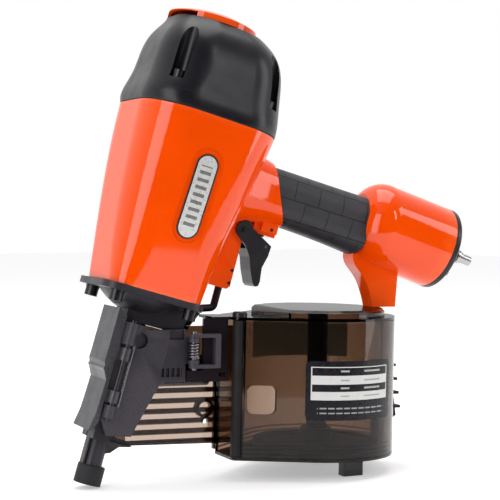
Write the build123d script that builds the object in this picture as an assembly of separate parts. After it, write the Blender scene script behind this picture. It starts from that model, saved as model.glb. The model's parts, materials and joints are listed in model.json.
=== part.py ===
from build123d import *
import math
import os

# Pneumatic coil nailer for 90 mm wire-collated nails, in millimetres.
#
# Three frames share one origin, the centre of the muzzle:
#   drive frame     +Z runs up the drive axis, +X towards the handle
#   magazine frame  +Z runs up the magazine axis; the drive axis leans 15 degrees to +X in it
#   standing frame  the tool on its contact tip and its two magazine feet, +Z up
# Every piece is built in the drive or the magazine frame and put in the standing frame last.

# ---------------------------------------------------------------- driving dimensions
NAIL_LENGTH = 90.0
MAGAZINE_ANGLE = 15.0
STANDING_PITCH = 1.3
RUNNING_FIT = 0.06
FREE_GAP = 0.3

TIP_RADIUS = 10.4
TIP_HEIGHT = 14.3
TIP_HOLE_RADIUS = 5.0
TIP_FLOOR = 2.2
MUZZLE_HEIGHT = TIP_RADIUS * math.sin(math.radians(MAGAZINE_ANGLE + STANDING_PITCH))
CONTACT_TRAVEL = 10.0
BARREL_END = CONTACT_TRAVEL + TIP_FLOOR + 0.4
BARREL_RADIUS = 7.4
BORE_RADIUS = 4.0
DRIVER_RADIUS = 3.7

SLOT_BOTTOM = 34.0
SLOT_TOP = SLOT_BOTTOM + NAIL_LENGTH + 1.0
DRIVER_TIP = SLOT_TOP + 2.0
STROKE = DRIVER_TIP - BARREL_END + 3.0

FLANGE_BOTTOM = 144.0
BODY_BOTTOM = 149.0
BODY_TOP = 285.0
CAP_BOTTOM = 286.0
CAP_TOP = 357.0
SLEEVE_TOP = 310.0
SLEEVE_RADIUS = 27.5
CYLINDER_RADIUS = 25.0
PISTON_BOTTOM = 290.0
PISTON_HEIGHT = 16.0
BUMPER_TOP = PISTON_BOTTOM - STROKE - 0.5

HANDLE_Z = 248.0
GRIP_END = 165.0
TRIGGER_PIVOT = (66.9, 215.5)
LEVER_PIVOT = (88.0, 207.6)
VALVE_X = 82.5
SAFETY_ROD_X = 61.9
SAFETY_ROD_RADIUS = 2.9
SAFETY_ROD_TOP = 202.2

TANK_ORIGIN = (238.5, 0.0, 249.3)
TANK_SLOPE = 3.7
TANK_RADIUS = 33.9
TANK_LENGTH = 76.0

LATCH_PIN = (-5.0, -20.8)
DOOR_HINGE = (76.0, -20.0)
DOOR_OUTER_Y = -16.5
DOOR_INNER_Y = -12.5

DRUM_CENTRE = 190.0
DRUM_RADIUS = 61.0
WALL = 2.2
CANISTER_BOTTOM = 16.0
CANISTER_TOP = 124.5
PLATEAU_TOP = 130.3
POST = (111.5, -23.5)
POST_RADIUS = 5.2

FEEDER_Y = 20.0
FEEDER_Z = 80.0
FEED_TRAVEL = 9.0


# ---------------------------------------------------------------- small builders
def rod(radius, z0, z1, x=0.0, y=0.0):
    """Cylinder along Z."""
    return Pos(x, y, (z0 + z1) / 2) * Cylinder(radius, z1 - z0)


def rod_x(radius, x0, x1, y=0.0, z=0.0):
    """Cylinder along X."""
    return Pos((x0 + x1) / 2, y, z) * Rot(0, 90, 0) * Cylinder(radius, x1 - x0)


def rod_y(radius, y0, y1, x=0.0, z=0.0):
    """Cylinder along Y."""
    return Pos(x, (y0 + y1) / 2, z) * Rot(90, 0, 0) * Cylinder(radius, y1 - y0)


def tube(outer, inner, z0, z1, x=0.0, y=0.0):
    """Hollow cylinder along Z."""
    return rod(outer, z0, z1, x, y) - rod(inner, z0 - 1, z1 + 1, x, y)


def block(x0, x1, y0, y1, z0, z1):
    """Box between two corners."""
    centre = Pos((x0 + x1) / 2, (y0 + y1) / 2, (z0 + z1) / 2)
    return centre * Box(x1 - x0, y1 - y0, z1 - z0)


def side_plate(outline, y0, y1):
    """Outline drawn in X and Z, extruded from y0 to y1."""
    plane = Plane(origin=(0, y1, 0), x_dir=(1, 0, 0), z_dir=(0, -1, 0))
    return extrude(plane * outline, y1 - y0)


def polygon(*points):
    """Closed flat outline through the points."""
    return make_face(Polyline(*points, close=True))


def plan_plate(outline, z0, z1):
    """Outline drawn in X and Y, extruded from z0 to z1."""
    return extrude(Pos(0, 0, z0) * outline, z1 - z0)


def coil(radius, wire, z0, z1, turns, x=0.0, y=0.0):
    """Compression spring along Z, with round wire of the given radius."""
    low, high = z0 + wire, z1 - wire
    path = Helix(pitch=(high - low) / turns, height=high - low, radius=radius)
    section = Plane(origin=path @ 0, z_dir=path % 0) * Circle(wire)
    return Pos(x, y, low) * sweep(section, path=path)


def from_drive(shape):
    """Drive frame to magazine frame."""
    return Rot(0, MAGAZINE_ANGLE, 0) * shape


def to_drive(shape):
    """Magazine frame to drive frame."""
    return Rot(0, -MAGAZINE_ANGLE, 0) * shape


def drive_point(x, z):
    """A drive-frame point's place in the magazine frame's X and Z."""
    lean = math.radians(MAGAZINE_ANGLE)
    return (x * math.cos(lean) + z * math.sin(lean), z * math.cos(lean) - x * math.sin(lean))


def group(solids):
    """Several separate solids in one node."""
    return Compound([piece for s in solids for piece in s.solids()])


# ---------------------------------------------------------------- head: housing sections
# height, half length, half width, corner radius, centre along X
BODY_SECTIONS = [
    (BODY_BOTTOM, 36.9, 38.0, 15.0, 3.4),
    (198.0, 44.3, 46.0, 27.0, 3.7),
    (243.0, 50.5, 52.0, 32.0, 5.7),
    (BODY_TOP, 55.3, 55.5, 36.0, 8.4),
]
CAP_SECTIONS = [
    (CAP_BOTTOM, 55.4, 55.6, 36.0, 8.4),
    (308.0, 53.3, 53.5, 35.0, 8.4),
    (330.0, 50.5, 50.5, 34.0, 7.8),
    (344.0, 45.8, 45.5, 31.0, 7.0),
    (353.0, 39.4, 38.4, 28.0, 5.5),
    (CAP_TOP, 35.8, 34.5, 26.0, 3.0),
]
BODY_WALL = 4.0
CAP_BOLTS = [(x, y) for x in (-30.0, 44.0) for y in (-42.0, 42.0)]
NOSE_BOLTS = [(x, y) for x in (-27.0, 33.0) for y in (-29.0, 29.0)]
RETURN_CHAMBER_RADIUS = 30.3
RETURN_CHAMBER_TOP = 226.0
SLEEVE_COLLAR_TOP = 231.0


def head_loft(sections, inset=0.0):
    """Smooth shell through rounded rectangles stacked along the drive axis."""
    outlines = []
    for z, half_x, half_y, radius, centre in sections:
        outline = RectangleRounded(2 * (half_x - inset), 2 * (half_y - inset), radius - inset)
        outlines.append(Pos(centre, 0, z) * outline)
    return loft(outlines)


def handle_loft(sections):
    """Smooth tube through rounded rectangles stacked along the handle."""
    outlines = []
    for x, z, half_y, half_z, radius in sections:
        plane = Plane(origin=(x, 0, z), x_dir=(0, 1, 0), z_dir=(1, 0, 0))
        outlines.append(plane * RectangleRounded(2 * half_y, 2 * half_z, radius))
    return loft(outlines)


def behind_curve(points, far_x):
    """Slab from a curved edge, seen from the side, to a far X."""
    start, middle, end = points
    edge = ThreePointArc(start, middle, end)
    back = Polyline(end, (far_x, end[1]), (far_x, start[1]), start)
    return side_plate(make_face(Curve() + [edge, back]), -60, 60)


GRIP_FRONT = [(73.0, 285.0), (86.0, 243.0), (107.0, 215.0)]
GRIP_REAR = [(160.0, 285.0), (166.5, 250.0), (163.0, 210.0)]
HANDLE_CORE = handle_loft([(60, HANDLE_Z, 16, 18.5, 14), (172, HANDLE_Z - 1.5, 16.5, 19.5, 14.5)])


def body_housing():
    """Painted casting: head, handle tube, air tank and the arm that carries the magazine."""
    outer = head_loft(BODY_SECTIONS)
    root = handle_loft([
        (34, 246, 33, 34, 28),
        (60, 248, 26, 28.5, 22),
        (80, 248.3, 21.3, 23.8, 18),
        (108, 248, 20.6, 23.2, 17.5),
    ]) - behind_curve(GRIP_FRONT, 130)
    valve_boss = block(74.5, 94, -7, 7, 216, 234) + block(80, 94, -9.5, 9.5, 218.6, 234)
    rod_guide = block(40, 68, -7, 7, 167.7, 224)
    rod_guide = chamfer(rod_guide.edges().filter_by(Axis.Y).sort_by(Axis.X)[-2:], 2.5)
    shape = outer + root + HANDLE_CORE + valve_boss + rod_guide + tank_shell() + to_drive(arm())
    for x, y in CAP_BOLTS:
        shape -= rod(3.0, 262, BODY_TOP + 1, x, y)
    main_chamber = head_loft(BODY_SECTIONS, BODY_WALL) & block(-80, 90, -80, 80, 231, 290)
    for x, y in CAP_BOLTS:
        main_chamber -= rod(7.0, 220, 290, x, y)
    shape -= main_chamber
    shape -= rod(RETURN_CHAMBER_RADIUS, 153, RETURN_CHAMBER_TOP + 1)
    shape -= rod(SLEEVE_RADIUS + 5.6, RETURN_CHAMBER_TOP, 232)
    shape -= rod(SLEEVE_RADIUS + 0.05, BODY_BOTTOM - 1, 154)
    for x, y in NOSE_BOLTS:
        shape -= rod(3.0, BODY_BOTTOM - 1, 160, x, y)
    shape -= rod_x(12.5, 40, 180, 0, HANDLE_Z - 0.8)
    shape -= tank_cavity()
    shape -= rod(5.0, 213, 240, VALVE_X)
    shape -= rod(SAFETY_ROD_RADIUS + 0.4, 160, 206, SAFETY_ROD_X)
    shape -= rod(SPRING_POCKET_RADIUS, *SPRING_POCKET, SAFETY_ROD_X)
    shape -= block(56.5, 76, -3.8, 3.8, 202.5, 221.5)
    shape -= rod_y(2.0, -12, 12, *TRIGGER_PIVOT)
    for side in (-1, 1):
        near, far = sorted((7.1 * side, 24 * side))
        shape -= rod_y(7.8, near, far, *TRIGGER_PIVOT)
    for x, z in GUIDE_PINS:
        shape -= rod_y(1.3, -9, 9, x, z)
    shape -= rod_y(1.3, -12, 12, *VALVE_PIN)
    for x, y in ARM_BOLTS:
        shape -= to_drive(rod(2.05, PLATEAU_TOP - 1, 144, x, y))
    return shape


SPRING_POCKET_RADIUS = 5.0
SPRING_POCKET = (184.4, 200.6)
GUIDE_PINS = [(66.4, 182.7), (66.4, 172.6)]
VALVE_PIN = (88.9, 221.5)
ARM_BOLTS = [(241.5, -4.3), (241.5, 4.3)]


def tank_profile(inset, length):
    """Half outline of the air tank: a straight drum with a rounded shoulder at the handle."""
    radius = TANK_RADIUS - inset
    start = -TANK_LENGTH + inset
    shoulder = ThreePointArc((start, 19 - inset), (start + 8, 29.6 - inset), (start + 22, radius - 0.6))
    rest = Polyline((start + 22, radius - 0.6), (length, radius), (length, 0), (start, 0), (start, 19 - inset))
    return make_face(Curve() + [shoulder, rest])


def on_tank(shape):
    """Tank frame, +X along the tank axis from its rear face, to drive frame."""
    return Pos(*TANK_ORIGIN) * Rot(0, TANK_SLOPE, 0) * shape


def tank_shell():
    face = Plane.XZ * tank_profile(0, 0)
    return on_tank(revolve(face, Axis.X))


def tank_cavity():
    face = Plane.XZ * tank_profile(3.6, 1)
    return on_tank(revolve(face, Axis.X))


def arm():
    """Web from the tank down to the top of the magazine, in the magazine frame."""
    front = Spline((217, 178), (218.2, 163.5), (224.5, 156), (232.5, 139.5), (235, PLATEAU_TOP))
    back = Polyline((235, PLATEAU_TOP), (255.3, PLATEAU_TOP), (257, 155), (262, 185), (217, 178))
    return side_plate(make_face(Curve() + [front, back]), -8.5, 8.5)


def grip_sleeve():
    """Rubber sleeve moulded round the handle tube."""
    outer = handle_loft([
        (68, 248.2, 19.0, 21.9, 16.5),
        (110, 248.1, 19.0, 22.0, 16.5),
        (150, 246.9, 19.8, 23.1, 17.2),
        (174, 245.8, 20.6, 24.4, 17.8),
    ])
    outer = outer & behind_curve(GRIP_FRONT, 180)
    outer = outer - behind_curve(GRIP_REAR, 190)
    return outer - HANDLE_CORE - tank_shell() - to_drive(arm())


# ---------------------------------------------------------------- head: cap and exhaust
HEAD_BORE_RADIUS = 31.5
EXHAUST_PORT_RADIUS = 5.0
EXHAUST_PORT_CIRCLE = 20.0
HEAD_BORE_TOP = 341.0
CAP_BOLT_HEAD = 304.5
DEFLECTOR_RADIUS = 34.8
DEFLECTOR_BOTTOM = 357.4
DEFLECTOR_EDGE = 361.8
DEFLECTOR_TOP = 368.6


def cylinder_cap():
    """Black cap with a central valve bore, four bolt channels and four exhaust ports."""
    outer = head_loft(CAP_SECTIONS)
    hollow = head_loft(CAP_SECTIONS, 4.5) & block(-80, 90, -80, 80, 280, 332)
    hollow -= rod(HEAD_BORE_RADIUS + 3, 280, 340)
    for x, y in CAP_BOLTS:
        hollow -= rod(8.5, 280, 340, x, y)
    shape = outer - hollow - rod(HEAD_BORE_RADIUS, 280, HEAD_BORE_TOP)
    for x, y in CAP_BOLTS:
        shape -= rod(3.0, 280, 320, x, y) + rod(6.2, CAP_BOLT_HEAD, CAP_TOP + 5, x, y)
        away = math.degrees(math.atan2(y, x - 8.0))
        slot = Pos(x, y, (CAP_BOLT_HEAD + 365) / 2) * Rot(0, 0, away)
        shape -= slot * Pos(8, 0, 0) * Box(16, 11, 365 - CAP_BOLT_HEAD)
    for k in range(4):
        angle = math.radians(90 * k + 45)
        x, y = EXHAUST_PORT_CIRCLE * math.cos(angle), EXHAUST_PORT_CIRCLE * math.sin(angle)
        shape -= rod(EXHAUST_PORT_RADIUS, 330, 360, x, y)
    return shape - rod(2.5, 345, 360)


def cap_gasket():
    outline = head_loft([(BODY_TOP, 55.2, 55.4, 36.0, 8.4), (CAP_BOTTOM, 55.2, 55.4, 36.0, 8.4)])
    hole = head_loft([(BODY_TOP - 1, 51.3, 51.5, 32.0, 8.4), (CAP_BOTTOM + 1, 51.3, 51.5, 32.0, 8.4)])
    for x, y in CAP_BOLTS:
        hole -= rod(7.0, 280, 290, x, y)
    outline -= hole
    for x, y in CAP_BOLTS:
        outline -= rod(3.05, 280, 290, x, y)
    return outline


def socket_bolt(shank, shank_length, head, head_height, socket):
    """Cap screw pointing down, its head resting on z = 0."""
    hexagon = plan_plate(RegularPolygon(socket, 6), head_height * 0.45, head_height + 1)
    return rod(head, 0, head_height) + rod(shank, -shank_length, 0.01) - hexagon


def cap_bolts():
    return group([Pos(x, y, CAP_BOLT_HEAD) * socket_bolt(2.95, 38, 4.6, 6, 2.6) for x, y in CAP_BOLTS])


def exhaust_deflector():
    """Crowned cup over the exhaust ports, with one window in its wall."""
    rim = (DEFLECTOR_RADIUS, DEFLECTOR_BOTTOM)
    edge = (DEFLECTOR_RADIUS, DEFLECTOR_EDGE)
    crown = ThreePointArc(edge, (21, 366.4), (0, DEFLECTOR_TOP))
    inner_edge = (DEFLECTOR_RADIUS - 2.4, 361.0)
    ceiling = ThreePointArc((0, 366.0), (19, 364.3), inner_edge)
    inner_rim = (DEFLECTOR_RADIUS - 2.4, DEFLECTOR_BOTTOM)
    edges = [Line(rim, edge), crown, Line((0, DEFLECTOR_TOP), (0, 366.0)), ceiling]
    edges += [Line(inner_edge, inner_rim), Line(inner_rim, rim)]
    cup = revolve(Plane.XZ * make_face(Curve() + edges), Axis.Z)
    hub = rod(6.5, DEFLECTOR_BOTTOM, 366.8)
    window = Rot(0, 0, 15) * block(-50, -20, -19, 19, 355, 361.2)
    shape = cup + hub - (window - rod(26, 350, 364))
    return shape - rod(2.6, 350, 372) - rod(5.0, 364.6, 372)


def deflector_screw():
    return Pos(0, 0, 364.6) * socket_bolt(2.45, 17, 4.4, 3.2, 2.0)


# ---------------------------------------------------------------- head: firing mechanism
HEAD_VALVE_BOTTOM = SLEEVE_TOP + 0.3
HEAD_VALVE_TRAVEL = 5.0
HEAD_VALVE_TOP = 330.0
PISTON_RING_Z = (297.0, 300.0)
PISTON_RING_DEPTH = 3.0


def cylinder_sleeve():
    collar = rod(SLEEVE_RADIUS + 5.5, RETURN_CHAMBER_TOP, SLEEVE_COLLAR_TOP)
    shape = rod(SLEEVE_RADIUS, BODY_BOTTOM, SLEEVE_TOP) + collar
    shape -= rod(CYLINDER_RADIUS, 140, 320)
    for k in range(8):
        port = Rot(0, 0, 45 * k + 22.5) * rod_x(2.0, 20, 30, 0, 185)
        shape -= port
    return shape


def sleeve_seals():
    lower = tube(RETURN_CHAMBER_RADIUS, SLEEVE_RADIUS, 154, 157.5)
    upper = tube(RETURN_CHAMBER_RADIUS, SLEEVE_RADIUS, 221, 224.5)
    return group([lower, upper])


def head_valve():
    ring = rod(HEAD_BORE_RADIUS - FREE_GAP, HEAD_VALVE_BOTTOM, HEAD_VALVE_TOP)
    ring -= rod(9.0, 300, 340)
    ring -= tube(21.0, 12.0, 322.0, 331.0)
    return ring


def head_valve_spring():
    return coil(16.5, 1.3, 328.5, HEAD_BORE_TOP, 3)


def piston():
    low, high = PISTON_RING_Z
    disc = rod(CYLINDER_RADIUS - 0.4, PISTON_BOTTOM, PISTON_BOTTOM + PISTON_HEIGHT)
    disc -= tube(30, CYLINDER_RADIUS - PISTON_RING_DEPTH, low, high)
    return disc - tube(19, 9, PISTON_BOTTOM + 9, PISTON_BOTTOM + PISTON_HEIGHT + 1) - rod(
        DRIVER_RADIUS, PISTON_BOTTOM - 1, PISTON_BOTTOM + 12)


def piston_ring():
    low, high = PISTON_RING_Z
    return tube(CYLINDER_RADIUS - 0.05, CYLINDER_RADIUS - PISTON_RING_DEPTH, low, high)


def driver_blade():
    return rod(DRIVER_RADIUS, DRIVER_TIP, PISTON_BOTTOM + 12)


def piston_bumper():
    pad = rod(CYLINDER_RADIUS - 0.3, BODY_BOTTOM, BUMPER_TOP)
    pad = chamfer(pad.edges().sort_by(Axis.Z)[-1], 3)
    return pad - rod(5.6, 140, 180)


# ---------------------------------------------------------------- air inlet
END_GASKET = 1.4
END_CAP_FACE = 5.5
END_SCREW_CIRCLE = 25.0
PLUG_START = 10.0
PLUG_END = 37.0
PLUG_TIP_RADIUS = 4.1
PLUG_TIP_LENGTH = 9.0


def end_screw_places():
    places = []
    for k in range(4):
        angle = math.radians(90 * k + 45)
        places.append((END_SCREW_CIRCLE * math.cos(angle), END_SCREW_CIRCLE * math.sin(angle)))
    return places


def end_cap_gasket():
    ring = rod_x(TANK_RADIUS, 0, END_GASKET) - rod_x(TANK_RADIUS - 3.6, -1, END_GASKET + 1)
    return on_tank(ring)


def end_cap():
    """Dark plate that closes the tank, with a hub for the air plug."""
    plate = rod_x(TANK_RADIUS, END_GASKET, END_CAP_FACE)
    plate = chamfer(plate.edges().filter_by(GeomType.CIRCLE).sort_by(Axis.X)[-1], 1.2)
    hub = rod_x(11, END_CAP_FACE - 1, PLUG_START)
    hub = chamfer(hub.edges().filter_by(GeomType.CIRCLE).sort_by(Axis.X)[-1], 1.5)
    shape = plate + hub - rod_x(5.5, -1, PLUG_START + 1)
    for y, z in end_screw_places():
        shape -= rod_x(2.1, -1, END_CAP_FACE + 1, y, z)
    return on_tank(shape)


def end_cap_screws():
    screws = []
    for y, z in end_screw_places():
        turn = Pos(END_CAP_FACE, y, z) * Rot(0, 90, 0)
        screws.append(on_tank(turn * socket_bolt(2.05, 4.0, 3.8, 3.4, 1.9)))
    return group(screws)


def air_plug():
    """Male quick-connect plug: thread, hexagon, neck, grooved nose."""
    shape = rod_x(5.5, END_GASKET, PLUG_START)
    hexagon = Pos(PLUG_START, 0, 0) * Rot(0, 90, 0) * plan_plate(RegularPolygon(7.4, 6), 0, 5)
    shape += hexagon
    shape += rod_x(5.4, PLUG_START + 4.9, 20)
    shape += rod_x(4.1, 19.9, 23)
    shape += rod_x(5.9, 23, 25.5)
    shape += rod_x(4.8, 25.4, PLUG_END - PLUG_TIP_LENGTH + 0.1)
    shape += rod_x(PLUG_TIP_RADIUS, PLUG_END - PLUG_TIP_LENGTH, PLUG_END)
    return on_tank(shape - rod_x(2.4, 0, PLUG_END + 1))


# ---------------------------------------------------------------- trigger group
VALVE_BOTTOM = 215.2
PLUNGER_BOTTOM = 213.2


def trigger():
    """Channel-shaped trigger: two ears on the pivot and a curved finger face."""
    px, pz = TRIGGER_PIVOT
    side = polygon(
        (61.8, 210.9), (71.0, 204.0), (76.4, 196.5), (80.0, 187.0), (84.8, 177.4), (87.4, 175.4),
        (89.9, 176.6), (90.4, 180.5), (89.0, 191.0), (91.6, 201.0), (92.2, 209.0), (88.0, 211.2),
        (73.2, 218.6))
    side = fillet(side.vertices().sort_by(Axis.Y)[0:8], 1.1)
    inside = polygon(
        (55, 223), (55, 202.0), (71.8, 202.0), (74.6, 202.6), (79.4, 196.8), (83.0, 189.0),
        (85.4, 187.4), (87.0, 190.5), (97, 201), (97, 223))
    shape = side_plate(side, -9.6, 9.6) + rod_y(7.0, -9.6, 9.6, px, pz)
    shape -= side_plate(inside, -7.4, 7.4)
    shape -= rod_y(2.0 + RUNNING_FIT, -12, 12, px, pz)
    return shape - rod_y(1.2, -12, 12, *LEVER_PIVOT)


def trigger_pins():
    """One short pivot pin each side, so that the safety lever can pass between them."""
    return group([rod_y(2.0, -10.6, -3.9, *TRIGGER_PIVOT), rod_y(2.0, 3.9, 10.6, *TRIGGER_PIVOT)])


def safety_lever():
    px, pz = LEVER_PIVOT
    bar = side_plate(polygon((58.6, 206.2), (px, 206.0), (px, 209.2), (58.6, 208.6)), -3, 3)
    shape = bar + rod_y(2.6, -3, 3, px, pz)
    return shape - rod_y(1.2 + RUNNING_FIT, -5, 5, px, pz)


def safety_lever_pin():
    return rod_y(1.2, -9.4, 9.4, *LEVER_PIVOT)


def trigger_valve_body():
    shape = rod(4.95, VALVE_BOTTOM, 236, VALVE_X)
    shape -= tube(7, 4.2, 226, 228, VALVE_X)
    return shape - rod(1.8 + RUNNING_FIT, 210, 231, VALVE_X)


def trigger_valve_plunger():
    return rod(1.8, PLUNGER_BOTTOM, 228, VALVE_X)


def roll_pins():
    pins = [rod_y(1.3, -7.4, 7.4, x, z) for x, z in GUIDE_PINS]
    pins.append(rod_y(1.3, -9.9, 9.9, *VALVE_PIN))
    return group(pins)


# ---------------------------------------------------------------- nose
NOSE_FRONT = -9.2
NOSE_REAR = 13.0
NOSE_NEAR = -12.2
NOSE_FAR = 14.0
STRAP_FACES = (-8.85, -7.6)
STRAP_HALF_WIDTH = 3.8
LINK_BAND = (100.0, 114.0)
LINK_FACES = (16.3, 17.9)
NECK_TOP_RADIUS = 31.0
FLANGE_OUTLINE = (-39.0, 42.5, 38.0, 13.0)


def nose_casting():
    """Steel nose: bolting flange, bell neck, drive track with its side slot, and barrel."""
    front, rear, half_y, radius = FLANGE_OUTLINE
    flange = plan_plate(Pos((front + rear) / 2, 0) * RectangleRounded(rear - front, 2 * half_y, radius),
                        FLANGE_BOTTOM, BODY_BOTTOM)
    bell = Curve() + [
        ThreePointArc((NECK_TOP_RADIUS, FLANGE_BOTTOM + 0.5), (22.0, 137.2), (13.5, 133.0)),
        Polyline((13.5, 133.0), (0, 133.0), (0, FLANGE_BOTTOM + 0.5), (NECK_TOP_RADIUS, FLANGE_BOTTOM + 0.5)),
    ]
    neck = revolve(Plane.XZ * make_face(bell), Axis.Z)
    track = block(NOSE_FRONT, NOSE_REAR, NOSE_NEAR, NOSE_FAR, SLOT_BOTTOM, FLANGE_BOTTOM + 0.5)
    roof = block(-5, 38, NOSE_NEAR, 12, SLOT_TOP, FLANGE_BOTTOM + 0.5)
    barrel = rod(BARREL_RADIUS, BARREL_END, SLOT_BOTTOM + 3)
    gusset = side_plate(polygon((6, 24.5), (10.1, 26), (15.6, 31.6), (27.5, 34.2), (27.5, 36.5), (6, 38)),
                        -4, GUIDE_FACES[0] - 0.1)
    shape = flange + neck + track + roof + barrel + gusset
    shape -= rod(BORE_RADIUS, 0, 160)
    shape -= block(0, 30, -BORE_RADIUS, 2.6, SLOT_BOTTOM, SLOT_TOP)
    shape -= block(4.5, 30, NOSE_NEAR - 1, 2.6, SLOT_BOTTOM, SLOT_TOP)
    groove = block(NOSE_FRONT - 1, -7.4, -4.2, 4.2, SLOT_BOTTOM - 2, 126)
    link_pocket = block(NOSE_FRONT - 1, -7.4, -4.2, NOSE_FAR + 1, LINK_BAND[0] - 2, 126)
    shape -= groove + link_pocket
    for x, y in NOSE_BOLTS:
        shape -= rod(3.0, 140, 150, x, y)
    return shape


def nose_bolts():
    turn = Rot(180, 0, 0)
    return group([Pos(x, y, 142.2) * turn * socket_bolt(2.95, 17, 5.0, 6.2, 2.6) for x, y in NOSE_BOLTS])


def nose_spring_washers():
    """Split washers between the bolt heads and the flange."""
    washers = []
    for x, y in NOSE_BOLTS:
        ring = tube(5.3, 3.1, 142.2, FLANGE_BOTTOM, x, y)
        washers.append(ring - block(x + 2, x + 8, y - 0.5, y + 0.5, 140, 145))
    return group(washers)


def contact_arm():
    """Sliding safety yoke: collar at the muzzle, strap up the front, link and rod to the trigger."""
    outer, inner = STRAP_FACES
    collar = tube(8.85, 7.65, TIP_FLOOR, TIP_HEIGHT + 0.3)
    strap = block(outer, inner, -STRAP_HALF_WIDTH, STRAP_HALF_WIDTH, TIP_HEIGHT + 0.02, LINK_BAND[1])
    low, high = LINK_BAND
    near, far = LINK_FACES
    corner = block(outer, inner, -STRAP_HALF_WIDTH, far, low, high)
    link = block(outer, 32, near, far, low, high)
    route = FilletPolyline(
        (SAFETY_ROD_X, 0, SAFETY_ROD_TOP), (SAFETY_ROD_X, 0, 151.5), (51, 0, 148), (48.5, 15, 130),
        (29, 17.1, 108), radius=3.5)
    section = Plane(origin=route @ 0, z_dir=route % 0) * Circle(SAFETY_ROD_RADIUS)
    wire = sweep(section, path=route)
    stop = rod(4.6, SPRING_POCKET[0] + 0.4, SPRING_POCKET[0] + 1.6, SAFETY_ROD_X)
    return collar + strap + corner + link + wire + stop


def contact_spring():
    return coil(3.9, 0.6, SPRING_POCKET[1] - 4.2, SPRING_POCKET[1], 2, SAFETY_ROD_X)


def tip_cap():
    """Soft no-mar cap over the contact collar."""
    shape = rod(TIP_RADIUS, 0, TIP_HEIGHT)
    shape = fillet(shape.edges().filter_by(GeomType.CIRCLE).sort_by(Axis.Z)[-1], 1.0)
    return shape - rod(8.87, TIP_FLOOR, 20) - rod(TIP_HOLE_RADIUS, -1, 5)


# ---------------------------------------------------------------- door and latch
DOOR_TOP = 115.0
DOOR_LOWER_EDGE = 75.5
KNUCKLE_RADIUS = 3.9
LATCH_HALF_WIDTH = 18.5
LATCH_THICKNESS = 1.7
LATCH_BOTTOM = 39.5
LATCH_TOP = 132.0
DOOR_CLEVISES = ((51.5, 61.0), (107.0, 123.5))
LATCH_KNUCKLES = ((63.0, 72.0), (95.0, 104.5))
HINGE_KNUCKLES = ((89.0, 92.2), (105.8, 109.0))


def side_door():
    """Hinged cover of the nail slot, with its guide rail, latch clevises and hinge knuckles."""
    outline = polygon(
        drive_point(-9, 124), (38, 117.6), (40.5, DOOR_TOP), (70.5, DOOR_TOP), (70.5, 108.9),
        (80, 108.9), (80, 89.1), (70.5, 89.1), (70.5, DOOR_LOWER_EDGE), (54.8, DOOR_LOWER_EDGE),
        (50.2, 73.4), (46.3, 67.6), (28.1, 35.8), drive_point(-1, 38.5), drive_point(-9, 50))
    plate = side_plate(outline, DOOR_OUTER_Y, DOOR_INNER_Y)
    rail = from_drive(block(8.2, 13, DOOR_INNER_Y - 0.1, -5, 42, 121))
    shape = plate + rail
    px, py = LATCH_PIN
    for low, high in DOOR_CLEVISES:
        clevis = rod(KNUCKLE_RADIUS, low, high, px, py)
        clevis += block(px - KNUCKLE_RADIUS, px + 7.2, py - 0.6, DOOR_INNER_Y - 1, low, high)
        clevis -= rod(2.0, low - 1, high + 1, px, py)
        shape += from_drive(clevis)
    hx, hy = DOOR_HINGE
    shape -= rod(4.8, 92.2, 105.8, hx, hy)
    for low, high in HINGE_KNUCKLES:
        shape += rod(4.2, low, high, hx, hy)
        shape -= rod(2.0 + RUNNING_FIT, low - 1, high + 1, hx, hy)
    notch = from_drive(rod_y(6.0, -30, DOOR_OUTER_Y + 2.4, 5.2, 112.4))
    corner = block(57.5, 69.0, -30, DOOR_OUTER_Y + 2, 107.5, 120)
    pocket = block(51.5, 68.0, DOOR_OUTER_Y - 1, DOOR_OUTER_Y + 2, 79.5, 86.0)
    for k in range(4):
        x = 53.5 + 4.2 * k
        pocket -= block(x, x + 1.4, DOOR_OUTER_Y - 2, DOOR_OUTER_Y + 3, 78, 88)
    return shape - notch - corner - pocket


def latch_lever():
    """Pressed steel latch round the front of the nose, hung on the long pin of the door."""
    outer = [(-16.6, LATCH_BOTTOM), (-14.4, 52), (-14.0, 60), (-13.4, 78), (-16.4, 84.0), (-17.9, 86.0),
             (-17.3, 88.0), (-18.4, 91.0), (-18.2, 97.0), (-18.0, LATCH_TOP)]
    inner = [(x + LATCH_THICKNESS, z) for x, z in reversed(outer)]
    shape = side_plate(polygon(*(outer + inner)), -LATCH_HALF_WIDTH, LATCH_HALF_WIDTH)
    flange = [(-10.5, 128.0), (-10.5, 47.0), (-12.0, 44.0)]
    side = polygon(*(outer + flange))
    shape += side_plate(side, -LATCH_HALF_WIDTH, -LATCH_HALF_WIDTH + LATCH_THICKNESS)
    px, py = LATCH_PIN
    for low, high in LATCH_KNUCKLES:
        tab = block(-12, px, -LATCH_HALF_WIDTH, -LATCH_HALF_WIDTH + LATCH_THICKNESS, low, high)
        shape += tab + rod(KNUCKLE_RADIUS - 0.1, low, high, px, py)
        shape -= rod(2.0 + RUNNING_FIT, low - 1, high + 1, px, py)
    return from_drive(shape)


def latch_pin():
    return from_drive(rod(2.0, 49.5, 125.5, *LATCH_PIN))


def latch_spring():
    """Straight leg of the latch's wire spring, held between the two clevises."""
    return from_drive(rod(1.1, DOOR_CLEVISES[0][1], DOOR_CLEVISES[1][0], 0.4, -19.6))


def door_hinge_bracket():
    """Steel channel on the magazine that carries the door's hinge pin."""
    hx, hy = DOOR_HINGE
    shape = block(92.0, 96.5, -23.8, -17.8, 86.0, 112.0)
    for low, high in ((86.0, 88.8), (109.2, 112.0)):
        ear = block(hx, 92.5, -23.8, -17.8, low, high) + rod(3.8, low, high, hx, hy)
        shape += ear - rod(2.0, low - 1, high + 1, hx, hy)
    return shape


def door_hinge_pin():
    return rod(2.0, 84.5, 113.5, *DOOR_HINGE)


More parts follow.
